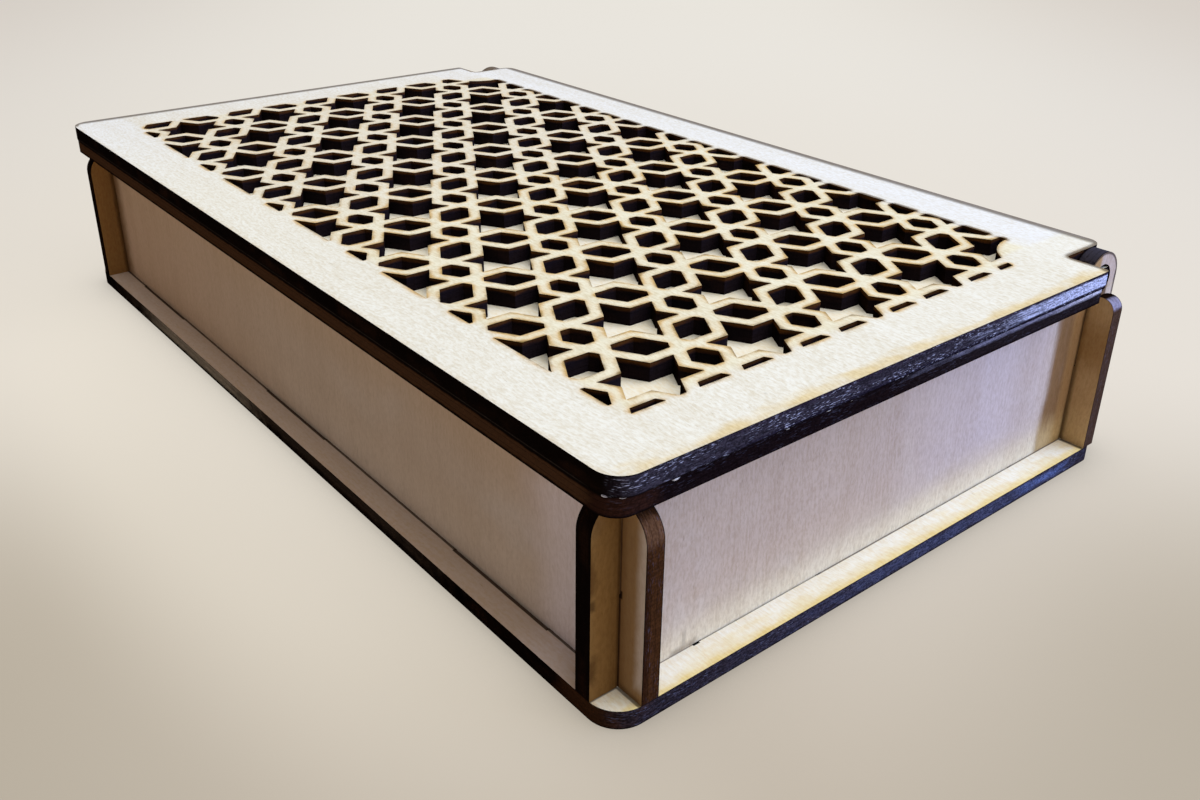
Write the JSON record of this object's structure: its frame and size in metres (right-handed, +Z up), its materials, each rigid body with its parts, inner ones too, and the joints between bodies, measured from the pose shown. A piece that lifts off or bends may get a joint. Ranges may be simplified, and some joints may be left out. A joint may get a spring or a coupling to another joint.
{
  "type": "dice box with hinged lid",
  "caption": "Shallow rectangular plywood box with cross-lapped finned corners and a lattice-pierced lid that turns on tongues in round wooden ears at the back.",
  "frame": {"origin": "bottom centre of the bounding box of the closed box", "axes": "+X along the long side, +Y towards the hinge at the back, +Z up"},
  "size_m": [0.2, 0.1206, 0.0391],
  "materials": {
    "base_ply": "bare birch plywood, laser-cut edges charred dark",
    "front_ply": "bare birch plywood, laser-cut edges charred dark",
    "back_ply": "bare birch plywood, laser-cut edges charred dark",
    "left_ply": "bare birch plywood, laser-cut edges charred dark",
    "right_ply": "bare birch plywood, laser-cut edges charred dark",
    "panel_ply": "bare birch plywood, laser-cut edges charred dark",
    "lattice_ply": "bare birch plywood, cut edges charred almost black"
  },
  "bodies": {
    "box": {"base_plate": "base_ply", "front_wall": "front_ply", "back_wall": "back_ply", "left_wall": "left_ply", "right_wall": "right_ply"},
    "lid": {"lid_panel": "panel_ply", "lid_lattice": "lattice_ply"}
  },
  "joints": [
    {"name": "lid_hinge", "type": "hinge", "parent": "box", "child": "lid", "pos_m": [0, 0.0552, 0.034], "axis": [-1, 0, 0], "range_deg": [0, 110]}
  ]
}
